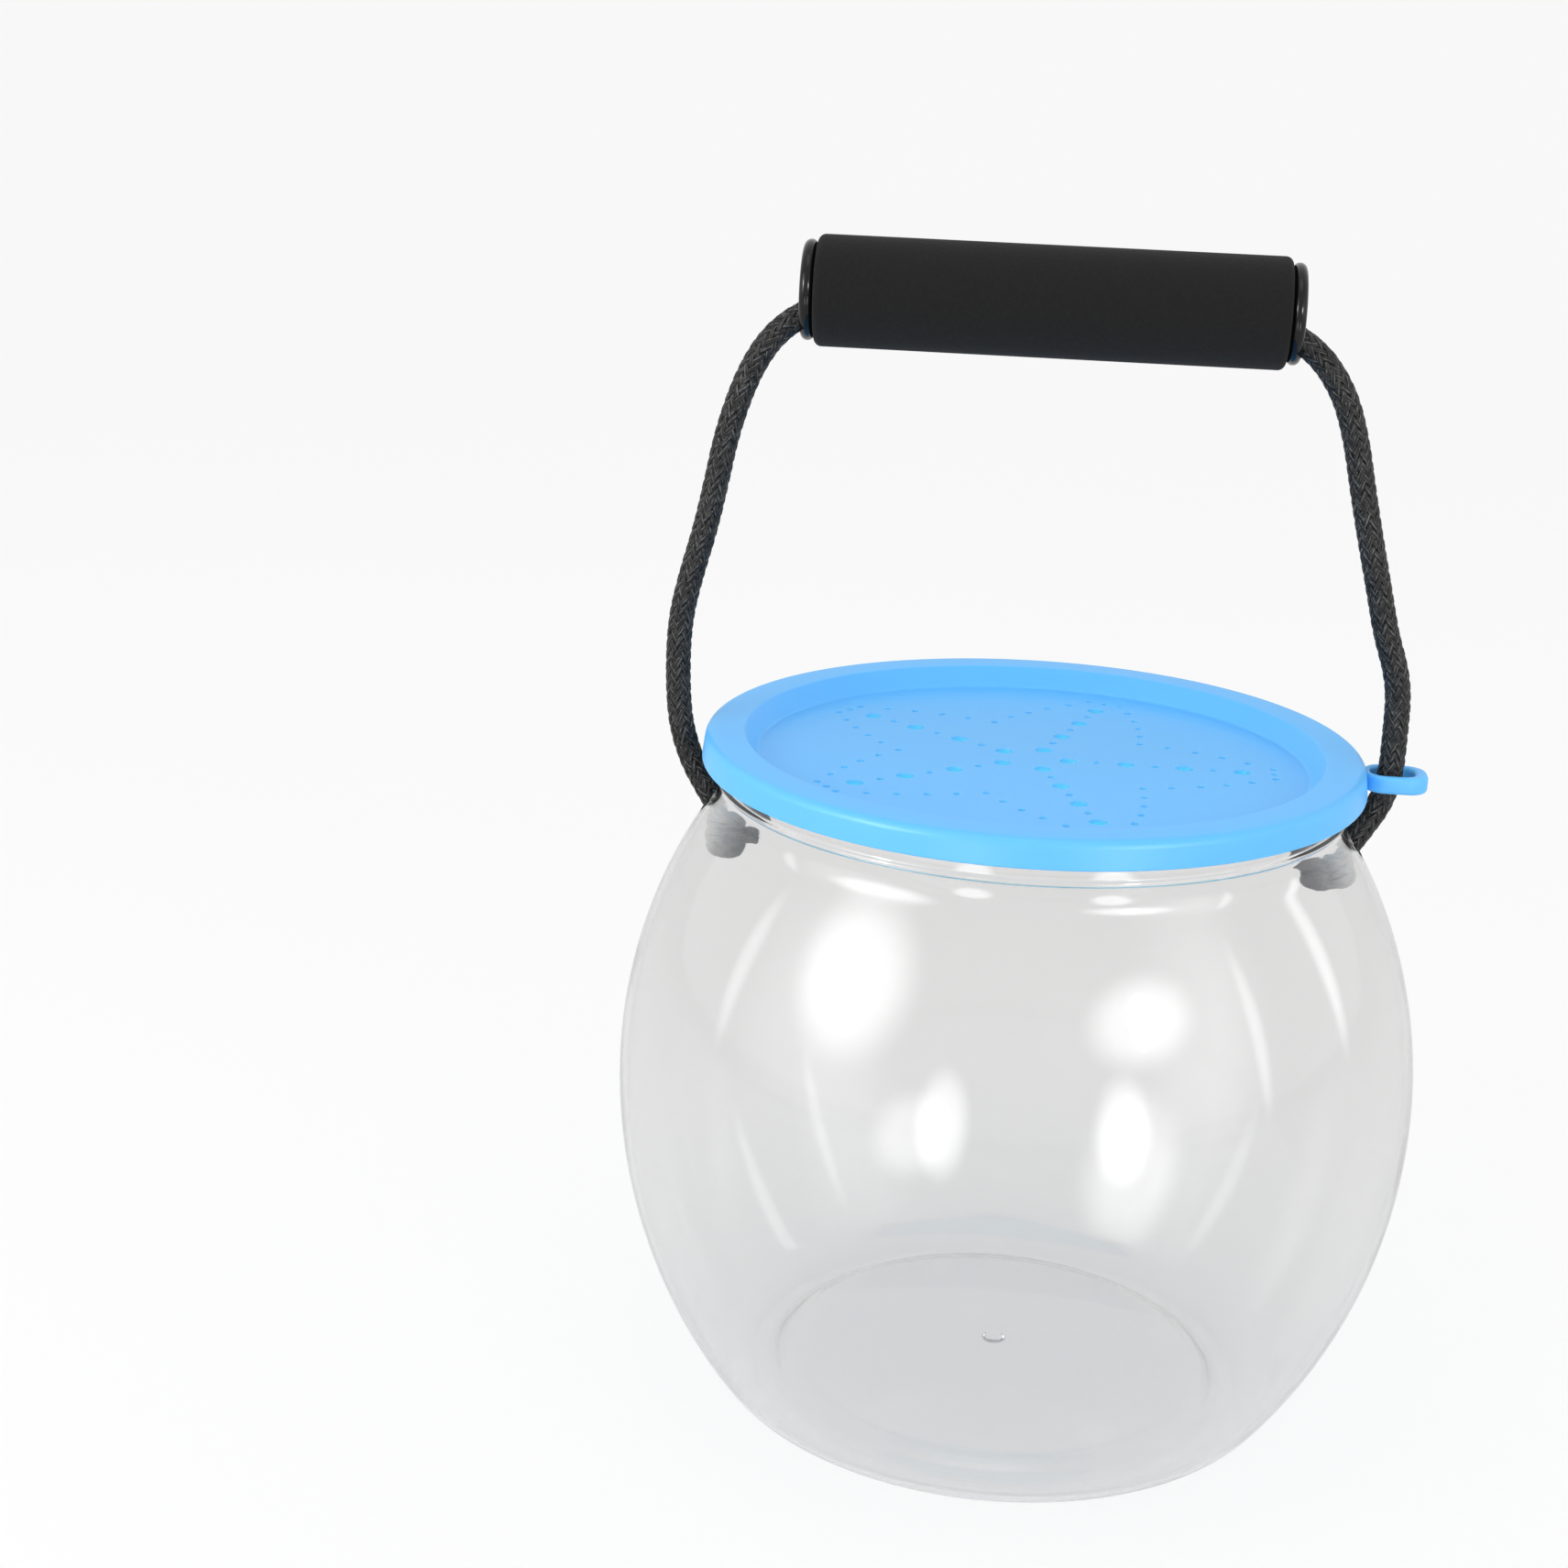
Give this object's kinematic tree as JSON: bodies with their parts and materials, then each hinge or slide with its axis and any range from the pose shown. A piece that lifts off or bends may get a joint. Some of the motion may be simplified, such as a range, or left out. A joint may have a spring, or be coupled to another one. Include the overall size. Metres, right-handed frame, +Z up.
{
  "type": "beach bucket",
  "caption": "Round clear bucket with a recessed push-on lid pierced with a dotted starfish, and a knotted rope handle through a foam grip.",
  "frame": {"origin": "centre of the foot ring, on the ground the bucket stands on", "axes": "+Z up along the bowl's axis; the rope legs, the knots, the grip and the lid's tab lie along X, with the tab at +X; the picture looks from -Y"},
  "size_m": [0.172, 0.172, 0.2513],
  "materials": {
    "clear_shell": "gloss",
    "blue_lid": "gloss",
    "rope": "braided",
    "foam": "matte",
    "core": "matte",
    "cap": "gloss"
  },
  "bodies": {
    "bowl": {"bowl": "clear_shell", "rope_lower_left": "rope", "rope_lower_right": "rope", "knot_left": "rope", "knot_right": "rope"},
    "lid": {"lid": "blue_lid"},
    "handle": {"rope_upper_left": "rope", "rope_upper_right": "rope", "rope_in_grip": "rope"},
    "grip": {"grip_foam": "foam", "grip_core": "core", "end_cap_left": "cap", "end_cap_right": "cap"}
  },
  "joints": [
    {"name": "lid_lift", "type": "slide", "parent": "bowl", "child": "lid", "axis": [0, 0, 1], "range_m": [0, 0.012]},
    {"name": "handle_swing", "type": "hinge", "parent": "bowl", "child": "handle", "pos_m": [0, 0, 0.1625], "axis": [1, 0, 0], "range_deg": [-85, 85]},
    {"name": "grip_spin", "type": "hinge", "parent": "handle", "child": "grip", "pos_m": [0, 0, 0.24], "axis": [1, 0, 0], "continuous": true}
  ]
}
